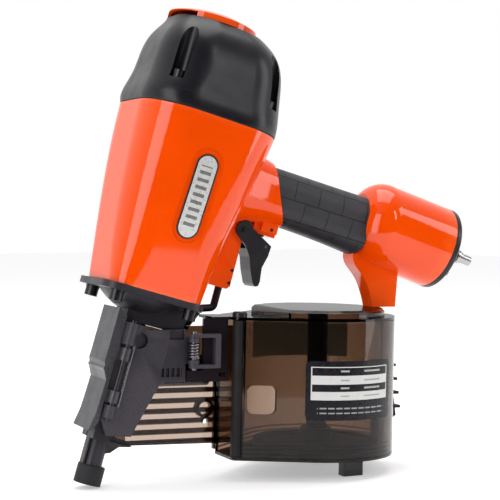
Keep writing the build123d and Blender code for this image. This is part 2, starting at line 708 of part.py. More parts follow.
def door_hinge_spring():
    return coil(3.4, 0.95, 92.7, 105.3, 5, *DOOR_HINGE)


# ---------------------------------------------------------------- feeder
GUIDE_FACES = (2.8, 5.6)
GUIDE_END = 121.0
GUIDE_TOP = 116.0
SLOT_WIDTH = 4.2
SLOT_PITCH = 7.84
SLOT_LOW = 29.2
SLOT_END = 118.0
RIB_END = 103.6
SLOT_COUNT = 6
GUIDE_BOSS = (95.4, 52.2)
GUIDE_HOLE = (96.0, 42.2)


def guide_slot_start(z):
    """Left end of the guide's slots at a height, parallel to the drive axis."""
    return drive_point(23.5, 0)[0] + 0.268 * z


def feed_guide():
    """Clear ribbed wall behind the nails, from the nose to the magazine."""
    near, far = GUIDE_FACES
    outline = polygon(
        drive_point(NOSE_REAR + 0.2, SLOT_BOTTOM + 1), drive_point(NOSE_REAR + 0.2, SLOT_TOP - 0.3),
        drive_point(38.3, SLOT_TOP - 0.3), (72.5, GUIDE_TOP), (GUIDE_END, GUIDE_TOP), (GUIDE_END, 25.0),
        (104, 25.0), (36, 26.0), (24.5, 27.2))
    shape = side_plate(outline, near, far)
    for k in range(SLOT_COUNT):
        low = SLOT_LOW + SLOT_PITCH * k
        left = guide_slot_start(low)
        shape -= block(left, SLOT_END, near - 1, near + 1.9, low, low + SLOT_WIDTH)
        shape += block(left - 4, RIB_END, far - 0.1, far + 2.2, low - 3.3, low - 0.1)
    shape += block(98.5, SLOT_END + 1, near + 1.1, near + 2, SLOT_LOW + 5, SLOT_LOW + 20)
    shape -= block(37.5, 60, near - 1, far + 1, 75.5, 84.5)
    x, z = GUIDE_BOSS
    shape += rod_y(7.5, near, far + 3.5, x, z) - rod_y(5.0, near - 1, far + 5, x, z)
    return shape - rod_y(2.0, near - 1, far + 6, *GUIDE_HOLE)


def feeder_cylinder():
    """Air cylinder that pulls the feed pawl back one nail pitch."""
    barrel = rod_x(12, 64, 99, FEEDER_Y, FEEDER_Z)
    base = block(64, 99, GUIDE_FACES[1], 12, 73, 90)
    shape = barrel + base - rod_x(9, 67, 100, FEEDER_Y, FEEDER_Z)
    return shape - rod_x(3.5 + RUNNING_FIT, 60, 70, FEEDER_Y, FEEDER_Z)


def feeder_cylinder_cap():
    return rod_x(12, 99, 102, FEEDER_Y, FEEDER_Z) + rod_x(8.95, 98.2, 99.1, FEEDER_Y, FEEDER_Z)


def feed_piston():
    head = rod_x(9 - RUNNING_FIT, 80, 83, FEEDER_Y, FEEDER_Z)
    return head + rod_x(3.5, 52, 80.5, FEEDER_Y, FEEDER_Z)


def feed_spring():
    spring = coil(6.0, 0.8, 0, 5.7, 2)
    return Pos(92.4, FEEDER_Y, FEEDER_Z) * Rot(0, 90, 0) * spring


def pawl_carrier():
    shape = block(43.5, 52, 6.6, 24.5, 75.2, 84.8)
    return shape - block(40, 53, 5, 15.5, 76.8, 83.2) - rod(1.5, 70, 90, *PAWL_PIVOT)


PAWL_PIVOT = (47.5, 10.5)
CHECK_PIVOT = (50.5, -9.0)


def feed_pawl():
    shape = plan_plate(polygon((44.5, 13.5), (50.3, 13.5), (50.3, 8.5), (45.0, 0.9), (42.4, 0.9), (42.4, 3.2)),
                       77.2, 82.8)
    return shape - rod(1.5 + RUNNING_FIT, 70, 90, *PAWL_PIVOT)


def feed_pawl_pin():
    return rod(1.5, 74.6, 85.4, *PAWL_PIVOT)


def check_pawl():
    shape = plan_plate(polygon((49.0, -11.6), (53.2, -11.6), (53.2, -6.8), (47.2, -2.2), (45.4, -2.2)), 86.5, 91.5)
    return shape - rod(1.4 + RUNNING_FIT, 80, 100, *CHECK_PIVOT)


def check_pawl_pin():
    """Pin of the check pawl, standing on a foot that sits on the inside of the door."""
    foot = block(48.6, 52.4, DOOR_INNER_Y, -7.4, 92.1, 94.4)
    return rod(1.4, 85.5, 94.4, *CHECK_PIVOT) + foot


# ---------------------------------------------------------------- magazine
def canister_outline():
    """Plan of the magazine: the coil's drum and a throat that narrows to the nail slot."""
    drum = Pos(DRUM_CENTRE, 0) * Circle(DRUM_RADIUS)
    near = Pos(*POST) * Circle(POST_RADIUS)
    far = Pos(110, 6.5) * Circle(4)
    return make_hull((drum + near + far).edges())


OUTLINE = canister_outline()
INNER_OUTLINE = offset(OUTLINE, -WALL)


def canister_wall(z0, z1):
    return plan_plate(OUTLINE, z0, z1) - plan_plate(INNER_OUTLINE, z0 - 1, z1 + 1)


def magazine_body():
    """Fixed half of the canister: floor, top with its raised plateau, far wall and throat."""
    floor_plate = plan_plate(OUTLINE, CANISTER_BOTTOM, CANISTER_BOTTOM + WALL)
    top = plan_plate(OUTLINE, CANISTER_TOP - WALL, CANISTER_TOP)
    top += block(91.5, 118, -19, 10.5, CANISTER_TOP - WALL, CANISTER_TOP)
    far_side = block(80, 300, 0.3, 100, CANISTER_BOTTOM, CANISTER_TOP)
    wall = canister_wall(CANISTER_BOTTOM, CANISTER_TOP) & far_side
    mouth = block(80, 116, -19, GUIDE_FACES[1], CANISTER_BOTTOM + WALL, CANISTER_TOP - WALL)
    wall -= mouth
    near_panel = block(84, 104.5, -17.8, -15.6, DOOR_LOWER_EDGE, CANISTER_TOP - WALL / 2)
    near_panel += block(71.5, 85, -17.8, -15.6, DOOR_LOWER_EDGE, 84.0)
    near_panel -= block(97.5, 103, -19, -14, 79, 82)
    joint = block(104, 108.5, GUIDE_FACES[1], 9.5, 20, CANISTER_TOP - WALL / 2)
    plateau = plan_plate(offset(OUTLINE, -8), CANISTER_TOP - 0.5, PLATEAU_TOP) & block(146, 300, -80, 80, 120, 140)
    plateau = chamfer(plateau.edges().group_by(Axis.Z)[-1], 2.2)
    shape = floor_plate + top + wall + near_panel + joint + plateau
    pocket = plan_plate(offset(OUTLINE, -10.5), CANISTER_TOP - 3, PLATEAU_TOP - 2) & block(149, 232, -80, 80, 120, 140)
    shape -= pocket
    shape -= rod(2.5, CANISTER_BOTTOM - 1, CANISTER_TOP + 1, *POST)
    shape -= rod(POST_RADIUS + 0.4, CANISTER_BOTTOM + WALL, CANISTER_TOP - WALL, *POST)
    for x, y in ARM_BOLTS:
        shape -= rod(2.05, 110, 140, x, y)
    return shape


COVER_WINDOW = (125.5, 62.4, 10.0, 11.0)


def magazine_cover():
    """Near wall of the canister, which swings open about its post."""
    wall = canister_wall(CANISTER_BOTTOM + WALL + 0.4, CANISTER_TOP - WALL - 0.4)
    near_side = block(112.5, 300, -100, -0.4, 0, 200)
    window = Pos(COVER_WINDOW[0], COVER_WINDOW[1]) * RectangleRounded(2 * COVER_WINDOW[2], 2 * COVER_WINDOW[3], 5)
    return (wall & near_side) - rod(POST_RADIUS + 0.02, 0, 200, *POST) - side_plate(window, -80, -10)


def cover_hinge_barrel():
    return tube(POST_RADIUS, 2.5 + RUNNING_FIT, CANISTER_BOTTOM + WALL + 0.4, CANISTER_TOP - WALL - 0.4, *POST)


def cover_hinge_pin():
    knob = rod(5.6, CANISTER_TOP, CANISTER_TOP + 4.2, *POST)
    knob = chamfer(knob.edges().filter_by(GeomType.CIRCLE).sort_by(Axis.Z)[-1], 0.8)
    return rod(2.5, CANISTER_BOTTOM, CANISTER_TOP + 1, *POST) + knob


PLATFORM_LOW = 20.5
PLATFORM_TRAVEL = 38.0
SPINDLE_RADIUS = 8.0


def nail_platform_post():
    post = rod(SPINDLE_RADIUS, 19.6, PLATEAU_TOP - 2, DRUM_CENTRE)
    return fillet(post.edges().filter_by(GeomType.CIRCLE).sort_by(Axis.Z)[0], 1.5)


def nail_platform():
    """Round shelf that the coil stands on; it slides on the post to suit the nail length."""
    disc = rod(50, PLATFORM_LOW, PLATFORM_LOW + 3, DRUM_CENTRE)
    hub = rod(12.5, PLATFORM_LOW, PLATFORM_LOW + 14, DRUM_CENTRE)
    rim = tube(50, 47.5, PLATFORM_LOW, PLATFORM_LOW + 5, DRUM_CENTRE)
    return disc + hub + rim - rod(SPINDLE_RADIUS + RUNNING_FIT, 10, 60, DRUM_CENTRE)


def below_floor():
    """Everything under the plane the tool stands on, in the magazine frame."""
    return Rot(0, -STANDING_PITCH, 0) * block(-500, 500, -200, 200, -100, -MUZZLE_HEIGHT)


FOOT_X = 203.0
FOOT_Y = 36.0


def magazine_feet():
    feet = []
    for side in (-1, 1):
        foot = block(FOOT_X - 8.5, FOOT_X + 8.5, side * FOOT_Y - 5, side * FOOT_Y + 5, -6, CANISTER_BOTTOM)
        foot = foot - below_floor()
        feet.append(fillet(foot.edges().filter_by(Axis.Z), 1.2))
    return group(feet)


def rear_bumper():
    """Ribbed guard behind the canister."""
    side = polygon((248, 86), (256.5, 85), (263.5, 41), (257, 37), (254.5, 9.5), (251.5, 9.5), (248, 37))
    shape = side_plate(side, 1, 15)
    for k in range(4):
        z = 82 - 11.3 * k
        reach = 262.5 + 1.6 * k
        shape += block(250, reach, 0.6, 15.4, z - 1.1, z + 1.1)
    return shape - plan_plate(OUTLINE, 0, 200)


RATING_PLATE = (155.0, 228.0, 48.0, 93.0)


def rating_plate():
    """Thin curved plate on the cover."""
    x0, x1, low, high = RATING_PLATE
    skin = plan_plate(offset(OUTLINE, 0.6), low, high) - plan_plate(OUTLINE, low - 1, high + 1)
    outline = Pos((x0 + x1) / 2, (low + high) / 2) * RectangleRounded(x1 - x0, high - low, 4)
    return skin & side_plate(outline, -80, -20)


def arm_bolts():
    bolts = []
    for x, y in ARM_BOLTS:
        bolts.append(Pos(x, y, CANISTER_TOP - WALL) * Rot(180, 0, 0) * socket_bolt(2.0, 20, 3.6, 4, 1.6))
    return group(bolts)


BADGE_PLACE = (6.2, 224.5)
BADGE_SIZE = (17.5, 64.0)


def badge():
    """Pill-shaped plate that follows the near side of the head."""
    x, z = BADGE_PLACE
    width, height = BADGE_SIZE
    pill = Pos(x, z) * RectangleRounded(width, height, width / 2 - 0.01)
    proud = head_loft(BODY_SECTIONS, -0.9)
    return (side_plate(pill, -70, -30) & proud) - head_loft(BODY_SECTIONS)


# ---------------------------------------------------------------- assembly
def drive_pieces():
    return {
        "body_housing": body_housing(),
        "grip_sleeve": grip_sleeve(),
        "cylinder_cap": cylinder_cap(),
        "cap_gasket": cap_gasket(),
        "cap_bolts": cap_bolts(),
        "exhaust_deflector": exhaust_deflector(),
        "deflector_screw": deflector_screw(),
        "cylinder_sleeve": cylinder_sleeve(),
        "sleeve_seals": sleeve_seals(),
        "head_valve": head_valve(),
        "head_valve_spring": head_valve_spring(),
        "piston": piston(),
        "piston_ring": piston_ring(),
        "driver_blade": driver_blade(),
        "piston_bumper": piston_bumper(),
        "end_cap_gasket": end_cap_gasket(),
        "end_cap": end_cap(),
        "end_cap_screws": end_cap_screws(),
        "air_plug": air_plug(),
        "trigger": trigger(),
        "trigger_pins": trigger_pins(),
        "safety_lever": safety_lever(),
        "safety_lever_pin": safety_lever_pin(),
        "trigger_valve_body": trigger_valve_body(),
        "trigger_valve_plunger": trigger_valve_plunger(),
        "roll_pins": roll_pins(),
        "nose_casting": nose_casting(),
        "nose_bolts": nose_bolts(),
        "nose_spring_washers": nose_spring_washers(),
        "contact_arm": contact_arm(),
        "contact_spring": contact_spring(),
        "tip_cap": tip_cap(),
        "badge": badge(),
    }


def magazine_pieces():
    return {
        "side_door": side_door(),
        "latch_lever": latch_lever(),
        "latch_pin": latch_pin(),
        "latch_spring": latch_spring(),
        "door_hinge_bracket": door_hinge_bracket(),
        "door_hinge_pin": door_hinge_pin(),
        "door_hinge_spring": door_hinge_spring(),
        "feed_guide": feed_guide(),
        "feeder_cylinder": feeder_cylinder(),
        "feeder_cylinder_cap": feeder_cylinder_cap(),
        "feed_piston": feed_piston(),
        "feed_spring": feed_spring(),
        "pawl_carrier": pawl_carrier(),
        "feed_pawl": feed_pawl(),
        "feed_pawl_pin": feed_pawl_pin(),
        "check_pawl": check_pawl(),
        "check_pawl_pin": check_pawl_pin(),
        "magazine_body": magazine_body(),
        "magazine_cover": magazine_cover(),
        "cover_hinge_barrel": cover_hinge_barrel(),
        "cover_hinge_pin": cover_hinge_pin(),
        "nail_platform_post": nail_platform_post(),
        "nail_platform": nail_platform(),
        "magazine_feet": magazine_feet(),
        "rear_bumper": rear_bumper(),
        "rating_plate": rating_plate(),
        "arm_bolts": arm_bolts(),
    }


def standing_pieces():
    """All pieces in the standing frame, muzzle centre above X = 0, floor at Z = 0."""
    pieces = {name: from_drive(shape) for name, shape in drive_pieces().items()}
    pieces.update(magazine_pieces())
    stand = Pos(0, 0, MUZZLE_HEIGHT) * Rot(0, STANDING_PITCH, 0)
    return {name: stand * shape for name, shape in pieces.items()}


def middle_x(pieces):
    """Half way along the whole tool."""
    boxes = [shape.bounding_box() for shape in pieces.values()]
    return (min(box.min.X for box in boxes) + max(box.max.X for box in boxes)) / 2


def main():
    os.makedirs("parts", exist_ok=True)
    pieces = standing_pieces()
    centring = Pos(-middle_x(pieces), 0, 0)
    for name, shape in pieces.items():
        export_step(centring * shape, f"parts/{name}.step")


if __name__ == "__main__":
    main()
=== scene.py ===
import json
import math

import bmesh
import bpy
from mathutils import Matrix, Vector


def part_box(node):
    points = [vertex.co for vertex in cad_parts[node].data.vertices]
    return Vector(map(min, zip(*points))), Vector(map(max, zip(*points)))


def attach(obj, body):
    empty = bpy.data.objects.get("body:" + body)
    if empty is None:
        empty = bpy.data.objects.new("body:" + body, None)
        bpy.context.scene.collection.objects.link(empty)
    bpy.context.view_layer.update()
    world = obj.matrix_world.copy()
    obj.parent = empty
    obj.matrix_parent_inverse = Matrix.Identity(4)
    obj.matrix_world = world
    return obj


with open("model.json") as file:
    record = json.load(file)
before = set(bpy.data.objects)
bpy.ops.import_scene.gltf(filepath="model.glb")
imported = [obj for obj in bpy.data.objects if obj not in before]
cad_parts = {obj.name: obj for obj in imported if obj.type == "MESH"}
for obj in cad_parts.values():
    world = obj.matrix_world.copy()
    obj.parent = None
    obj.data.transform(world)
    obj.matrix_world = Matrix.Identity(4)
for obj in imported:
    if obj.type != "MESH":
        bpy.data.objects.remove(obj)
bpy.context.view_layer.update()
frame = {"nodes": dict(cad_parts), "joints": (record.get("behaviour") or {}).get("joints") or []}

MM = 0.001
CAP_HEIGHT = 14.3 * MM
CAMERA_FROM_MUZZLE = (-335.4 * MM, -1052.9 * MM)
CAMERA_HEIGHT = 216.4 * MM
CAMERA_AZIMUTH = 24.0
CAMERA_LENS = 106.1
CAMERA_SHIFT = -0.106
FLOOR_SIZE = 5.0
FLOOR_FRONT = 0.55
SMOKE_COLOR = (0.51, 0.38, 0.27)
SMOKE_DENSITY = 1120.0
GUIDE_DENSITY = 2000.0
BLACK_FRAME_END = 105.5 * MM
PLASTIC_INDEX = 1.36
LID_INDEX = 1.03
LID_FACING = 0.9
BADGE_STRAIGHT = 23.2 * MM
RIDGE_RADIUS = 12.0 * MM
RIDGE_WIDTH = 1.5 * MM
RIDGE_HEIGHT = 0.9 * MM
CAP_GROOVE = 297.0 * MM
CAP_GROOVE_HALF = 0.4 * MM
GRIP_BRICK = (21.5 * MM, 15.5 * MM)
GRIP_CHANNEL = 0.6 * MM
FOOT_LINE_PITCH = 3.4 * MM
FOOT_LINE_BAND = (16.5 * MM, 29.0 * MM)
FOOT_LINE_FROM = 0.35
SHARP_ANGLE = 28.0

PLATE_OUTER = (158.5 * MM, 224.5 * MM)
PLATE_INNER = (159.3 * MM, 223.7 * MM)
PLATE_TABLE = (63.5 * MM, 88.8 * MM)
PLATE_ROWS = ((75.4 * MM, 82.1 * MM), (63.5 * MM, 69.9 * MM), (88.1 * MM, 88.8 * MM))
PLATE_CAPTIONS = ((56.8 * MM, 57.9 * MM), (53.2 * MM, 54.2 * MM))
PLATE_CAPTION_ACROSS = (163.0 * MM, 220.0 * MM)
PLATE_DASH = 6.1 * MM
PLATE_WORDS = ((180.0 * MM, 187.0 * MM), (200.0 * MM, 216.0 * MM))
PLATE_HEADS = ((84.8 * MM, 86.2 * MM), (72.0 * MM, 73.4 * MM))
PLATE_ENTRIES = ((78.0 * MM, 79.2 * MM), (66.2 * MM, 67.2 * MM))

BADGE_RIM = 7.6 * MM
BADGE_BAR_PITCH = 5.6 * MM
BADGE_BAR_HALF = 4.6 * MM
BADGE_BAR_SHARE = 0.45
BADGE_END_REACH = 0.1 * MM

LABEL_RADIUS = 58.5 * MM
LABEL_ARC = (38, 128)
LABEL_LOW = 86.0 * MM
LABEL_HIGH = 117.0 * MM
LABEL_THICKNESS = 0.3 * MM
LABEL_STEPS = 32

FLOOR_DROP = 0.0002
FLOOR_GLOW = 0.36
LIGHT_AIM = (0.0, 0.0, 0.18)
# name, place, width and height in metres, watts
LIGHTS = (
    ("softbox_left", (-1.35, -0.75, 0.45), (0.80, 1.7), 14.0),
    ("softbox_front", (0.75, -1.7, 1.1), (0.26, 0.9), 4.6),
    ("softbox_right", (1.45, -0.95, 0.5), (0.55, 1.6), 10.0),
    ("overhead", (0.1, 0.1, 1.6), (1.2, 1.2), 13.0),
)
WORLD_DARK = (0.03, 0.03, 0.033, 1.0)
WORLD_DARK_UNTIL = 0.15
WORLD_WHITE_FROM = 0.72
WHITE = (1.0, 1.0, 1.0, 1.0)


# ---------------------------------------------------------------- frames of the tool
def joint(name):
    return next(j for j in frame["joints"] if j["name"] == name)


def middle(node):
    low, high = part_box(node)
    return (Vector(low) + Vector(high)) / 2


def frame_at(origin, up):
    """Frame with +Z along up, +Y along the row's +Y and +X towards the handle."""
    along = Vector((0, 1, 0)).cross(up).normalized()
    turn = Matrix((along, Vector((0, 1, 0)), up)).transposed()
    return Matrix.Translation(origin) @ turn.to_4x4()


DRIVE_AXIS = Vector(joint("contact_press")["axis"])
MAGAZINE_AXIS = Vector(joint("platform_height")["axis"])
MUZZLE = middle("tip_cap") - DRIVE_AXIS * (CAP_HEIGHT / 2)
DRIVE = frame_at(MUZZLE, DRIVE_AXIS)
MAGAZINE = frame_at(MUZZLE, MAGAZINE_AXIS)


# ---------------------------------------------------------------- material helpers
class Shader:
    """A node material under construction, with one Principled shader."""

    def __init__(self, name, color, roughness, metallic=0.0):
        self.material = bpy.data.materials.new(name)
        self.material.use_nodes = True
        self.nodes = self.material.node_tree.nodes
        self.links = self.material.node_tree.links
        self.principled = self.nodes["Principled BSDF"]
        self.set("Base Color", (*color, 1.0))
        self.set("Roughness", roughness)
        self.set("Metallic", metallic)
        self.color = color
        self.roughness = roughness
        self.bump = None

    def set(self, socket, value):
        self.principled.inputs[socket].default_value = value

    def add(self, kind, **settings):
        node = self.nodes.new(kind)
        for key, value in settings.items():
            setattr(node, key, value)
        return node

    def place(self, frame_matrix=None):
        """Object coordinates in metres, turned into one of the tool's own frames."""
        coords = self.add("ShaderNodeTexCoord").outputs["Object"]
        if frame_matrix is None:
            return coords
        mapping = self.add("ShaderNodeMapping", vector_type="TEXTURE")
        mapping.inputs["Location"].default_value = frame_matrix.to_translation()
        mapping.inputs["Rotation"].default_value = frame_matrix.to_euler()
        self.links.new(coords, mapping.inputs["Vector"])
        return mapping.outputs["Vector"]

    def noise(self, scale, detail=4.0, vector=None, stretch=None):
        """Noise in 0 to 1, with features about 1/scale metres across."""
        texture = self.add("ShaderNodeTexNoise")
        texture.inputs["Scale"].default_value = scale
        texture.inputs["Detail"].default_value = detail
        vector = vector or self.place()
        if stretch:
            mapping = self.add("ShaderNodeMapping")
            mapping.inputs["Scale"].default_value = stretch
            self.links.new(vector, mapping.inputs["Vector"])
            vector = mapping.outputs["Vector"]
        self.links.new(vector, texture.inputs["Vector"])
        return texture.outputs["Fac"]

    def ramp(self, factor, low, high, low_at=0.0, high_at=1.0):
        ramp = self.add("ShaderNodeValToRGB")
        ramp.color_ramp.elements[0].position = low_at
        ramp.color_ramp.elements[1].position = high_at
        ramp.color_ramp.elements[0].color = (*low, 1.0)
        ramp.color_ramp.elements[1].color = (*high, 1.0)
        self.links.new(factor, ramp.inputs["Fac"])
        return ramp.outputs["Color"]

    def math(self, operation, a, b=None):
        node = self.add("ShaderNodeMath", operation=operation)
        for socket, value in zip(node.inputs, (a, b)):
            if value is None:
                continue
            if isinstance(value, (int, float)):
                socket.default_value = value
            else:
                self.links.new(value, socket)
        return node.outputs[0]

    def mix(self, factor, a, b):
        node = self.add("ShaderNodeMix", data_type="RGBA")
        for key, value in (("Factor", factor), ("A", a), ("B", b)):
            socket = next(s for s in node.inputs if s.name == key and s.enabled)
            if isinstance(value, tuple):
                socket.default_value = (*value, 1.0)
            else:
                self.links.new(value, socket)
        return next(s for s in node.outputs if s.enabled)

    def vary_color(self, factor, amount):
        """Base colour a little darker and lighter with factor."""
        low = tuple(c * (1 - amount) for c in self.color)
        high = tuple(min(1.0, c * (1 + amount)) for c in self.color)
        color = self.ramp(factor, low, high, 0.3, 0.7)
        self.links.new(color, self.principled.inputs["Base Color"])
        return color

    def vary_roughness(self, factor, amount):
        low = max(0.02, self.roughness - amount)
        high = min(1.0, self.roughness + amount)
        value = self.ramp(factor, (low, low, low), (high, high, high), 0.3, 0.7)
        self.links.new(value, self.principled.inputs["Roughness"])

    def raise_by(self, height, distance, strength=1.0):
        """Bump from a height in 0 to 1; several bumps chain."""
        bump = self.add("ShaderNodeBump")
        bump.inputs["Distance"].default_value = distance
        bump.inputs["Strength"].default_value = strength
        self.links.new(height, bump.inputs["Height"])
        if self.bump:
            self.links.new(self.bump.outputs["Normal"], bump.inputs["Normal"])
        self.links.new(bump.outputs["Normal"], self.principled.inputs["Normal"])
        self.bump = bump

    def worn_edges(self, worn_color, base, amount=1.0):
        """Lighter colour where the surface is sharply convex, broken up by noise."""
        edge = self.add("ShaderNodeNewGeometry").outputs["Pointiness"]
        sharp = self.ramp(edge, (0, 0, 0), (1, 1, 1), 0.53, 0.58)
        broken = self.math("MULTIPLY", sharp, self.noise(900.0, 2.0))
        factor = self.math("MULTIPLY", broken, amount)
        color = self.mix(factor, base, worn_color)
        self.links.new(color, self.principled.inputs["Base Color"])


# ---------------------------------------------------------------- materials
def band(s, value, low, high):
    """1 where low < value < high."""
    return s.math("MULTIPLY", s.math("GREATER_THAN", value, low), s.math("LESS_THAN", value, high))


def bands(s, value, edges):
    """1 where value is in one of several bands that do not overlap."""
    total = band(s, value, *edges[0])
    for low, high in edges[1:]:
        total = s.math("ADD", total, band(s, value, low, high))
    return total


def badge_distance(s):
    """Distances from the badge's middle line and centre; near is 1 on the badge's side."""
    split = s.add("ShaderNodeSeparateXYZ")
    s.links.new(s.place(DRIVE), split.inputs[0])
    centre = DRIVE.inverted() @ middle("badge")
    across = s.math("ABSOLUTE", s.math("SUBTRACT", split.outputs["X"], centre.x))
    up = s.math("SUBTRACT", split.outputs["Z"], centre.z)
    beyond = s.math("MAXIMUM", s.math("SUBTRACT", s.math("ABSOLUTE", up), BADGE_STRAIGHT), 0.0)
    squares = s.math("ADD", s.math("POWER", across, 2.0), s.math("POWER", beyond, 2.0))
    radial = s.math("SQRT", squares)
    near = s.math("LESS_THAN", split.outputs["Y"], 0.0)
    return {"radial": radial, "up": up, "across": across, "beyond": beyond, "near": near}


def orange_paint():
    """Thick glossy powder coat with a little orange peel, and a moulded ridge round the badge."""
    s = Shader("orange_paint", (0.95, 0.074, 0.0), 0.5)
    s.set("Specular IOR Level", 0.0)
    s.set("Coat Weight", 1.0)
    s.set("Coat Roughness", 0.07)
    base = s.vary_color(s.noise(25.0, 3.0), 0.04)
    s.worn_edges((0.95, 0.16, 0.03), base, 0.5)
    s.vary_roughness(s.noise(60.0), 0.05)
    badge = badge_distance(s)
    away = s.math("ABSOLUTE", s.math("SUBTRACT", badge["radial"], RIDGE_RADIUS))
    ridge = s.math("MAXIMUM", s.math("SUBTRACT", 1.0, s.math("DIVIDE", away, RIDGE_WIDTH)), 0.0)
    s.raise_by(s.math("MULTIPLY", ridge, badge["near"]), RIDGE_HEIGHT, 0.8)
    s.raise_by(s.noise(500.0, 2.0), 0.00003, 0.35)
    return s.material


def cap_plastic():
    """Black moulded cap with a fine grain and one parting groove round it."""
    s = Shader("cap_plastic", (0.009, 0.008, 0.011), 0.34)
    s.set("Specular IOR Level", 0.3)
    s.set("Coat Weight", 0.12)
    s.set("Coat Roughness", 0.2)
    base = s.vary_color(s.noise(40.0), 0.12)
    s.worn_edges((0.05, 0.05, 0.055), base, 0.5)
    s.vary_roughness(s.noise(90.0), 0.05)
    split = s.add("ShaderNodeSeparateXYZ")
    s.links.new(s.place(DRIVE), split.inputs[0])
    low, high = CAP_GROOVE - CAP_GROOVE_HALF, CAP_GROOVE + CAP_GROOVE_HALF
    groove = band(s, split.outputs["Z"], low, high)
    s.raise_by(s.math("SUBTRACT", 1.0, groove), 0.0005, 0.8)
    s.raise_by(s.noise(2600.0, 2.0), 0.00002, 0.5)
    return s.material


def grip_rubber():
    """Soft rubber moulded with a pattern of bricks split by shallow channels, with painted shade
    darkening the channels.
    """
    s = Shader("grip_rubber", (0.026, 0.025, 0.030), 0.52)
    place = s.place(DRIVE)
    brick = s.add("ShaderNodeTexBrick", offset=0.5, squash=1.0)
    swap = s.add("ShaderNodeSeparateXYZ")
    s.links.new(place, swap.inputs[0])
    flat = s.add("ShaderNodeCombineXYZ")
    s.links.new(swap.outputs["X"], flat.inputs["X"])
    s.links.new(swap.outputs["Z"], flat.inputs["Y"])
    s.links.new(flat.outputs[0], brick.inputs["Vector"])
    brick.inputs["Scale"].default_value = 1.0
    brick.inputs["Brick Width"].default_value = GRIP_BRICK[0]
    brick.inputs["Row Height"].default_value = GRIP_BRICK[1]
    brick.inputs["Mortar Size"].default_value = GRIP_CHANNEL
    brick.inputs["Mortar Smooth"].default_value = 0.4
    groove = s.math("SUBTRACT", 1.0, brick.outputs["Fac"])
    base = s.vary_color(s.noise(50.0), 0.10)
    # painted shade: the channels between the bricks are coloured near-black to stand in for the
    # shade that falls in them
    color = s.mix(brick.outputs["Fac"], base, (0.005, 0.005, 0.006))
    s.links.new(color, s.principled.inputs["Base Color"])
    s.vary_roughness(s.noise(120.0), 0.08)
    s.raise_by(groove, 0.0007, 0.9)
    s.raise_by(s.noise(1800.0, 2.0), 0.00006, 0.8)
    return s.material


def plain_rubber(name="black_rubber", color=(0.018, 0.017, 0.019)):
    """Dull black rubber or moulding with a fine uneven skin."""
    s = Shader(name, color, 0.6)
    s.set("Specular IOR Level", 0.25)
    s.vary_color(s.noise(60.0), 0.2)
    s.vary_roughness(s.noise(150.0), 0.1)
    s.raise_by(s.noise(1500.0, 3.0), 0.00007, 0.8)
    return s.material


def cast_steel(name, color, roughness=0.45, metallic=0.15):
    """Blackened casting with a fine sandy skin and polished edges."""
    s = Shader(name, color, roughness, metallic)
    s.set("Specular IOR Level", 0.35)
    base = s.vary_color(s.noise(45.0), 0.15)
    s.worn_edges(tuple(min(1.0, c * 3 + 0.04) for c in color), base, 0.6)
    s.vary_roughness(s.noise(80.0), 0.08)
    s.raise_by(s.noise(1400.0, 4.0), 0.00003, 0.6)
    return s.material


def brushed_metal(name, color, roughness):
    """Machined or drawn metal with fine upright lines."""
    s = Shader(name, color, roughness, 1.0)
    lines = s.noise(3500.0, 2.0, s.place(MAGAZINE), (1, 1, 0.03))
    s.vary_color(s.noise(40.0), 0.12)
    s.vary_roughness(lines, 0.10)
    s.raise_by(lines, 0.00002, 0.6)
    return s.material


def smoked_plastic(name, density, black_before=None):
    """Brown clear moulding with slight flow marks, and darker lines round its foot painted as the
    shade of the foot's moulded ridges.

    Faces that look up have a lower index than the moulding's own, so that the lid mirrors
    less of the surround. With black_before, the part in front of that place along the
    magazine is opaque black.
    """
    s = Shader(name, (1.0, 1.0, 1.0), 0.05)
    s.set("Transmission Weight", 1.0)
    facing = s.add("ShaderNodeSeparateXYZ")
    s.links.new(s.add("ShaderNodeTexCoord").outputs["Normal"], facing.inputs[0])
    lid = s.math("GREATER_THAN", facing.outputs["Z"], LID_FACING)
    index = s.math("SUBTRACT", PLASTIC_INDEX, s.math("MULTIPLY", lid, PLASTIC_INDEX - LID_INDEX))
    s.links.new(index, s.principled.inputs["IOR"])
    s.vary_roughness(s.noise(70.0), 0.03)
    s.raise_by(s.noise(30.0, 2.0), 0.0005, 0.12)
    split = s.add("ShaderNodeSeparateXYZ")
    s.links.new(s.place(MAGAZINE), split.inputs[0])
    along, up = split.outputs["X"], split.outputs["Z"]
    # painted shade: darker bands round the foot stand in for the shade at its moulded ridges and
    # rim
    wave = s.math("SINE", s.math("MULTIPLY", up, 2 * math.pi / FOOT_LINE_PITCH))
    crest = s.math("GREATER_THAN", wave, FOOT_LINE_FROM)
    line = s.math("MULTIPLY", crest, band(s, up, *FOOT_LINE_BAND))
    clear_color = s.mix(line, (1.0, 1.0, 1.0), (0.30, 0.26, 0.27))
    s.links.new(clear_color, s.principled.inputs["Base Color"])
    output = s.nodes["Material Output"]
    smoke = s.add("ShaderNodeVolumeAbsorption")
    smoke.inputs["Color"].default_value = (*SMOKE_COLOR, 1.0)
    smoke.inputs["Density"].default_value = density
    s.links.new(smoke.outputs["Volume"], output.inputs["Volume"])
    if black_before is not None:
        clear = s.math("GREATER_THAN", along, black_before)
        color = s.mix(clear, (0.016, 0.012, 0.015), clear_color)
        s.links.new(color, s.principled.inputs["Base Color"])
        s.links.new(clear, s.principled.inputs["Transmission Weight"])
    return s.material


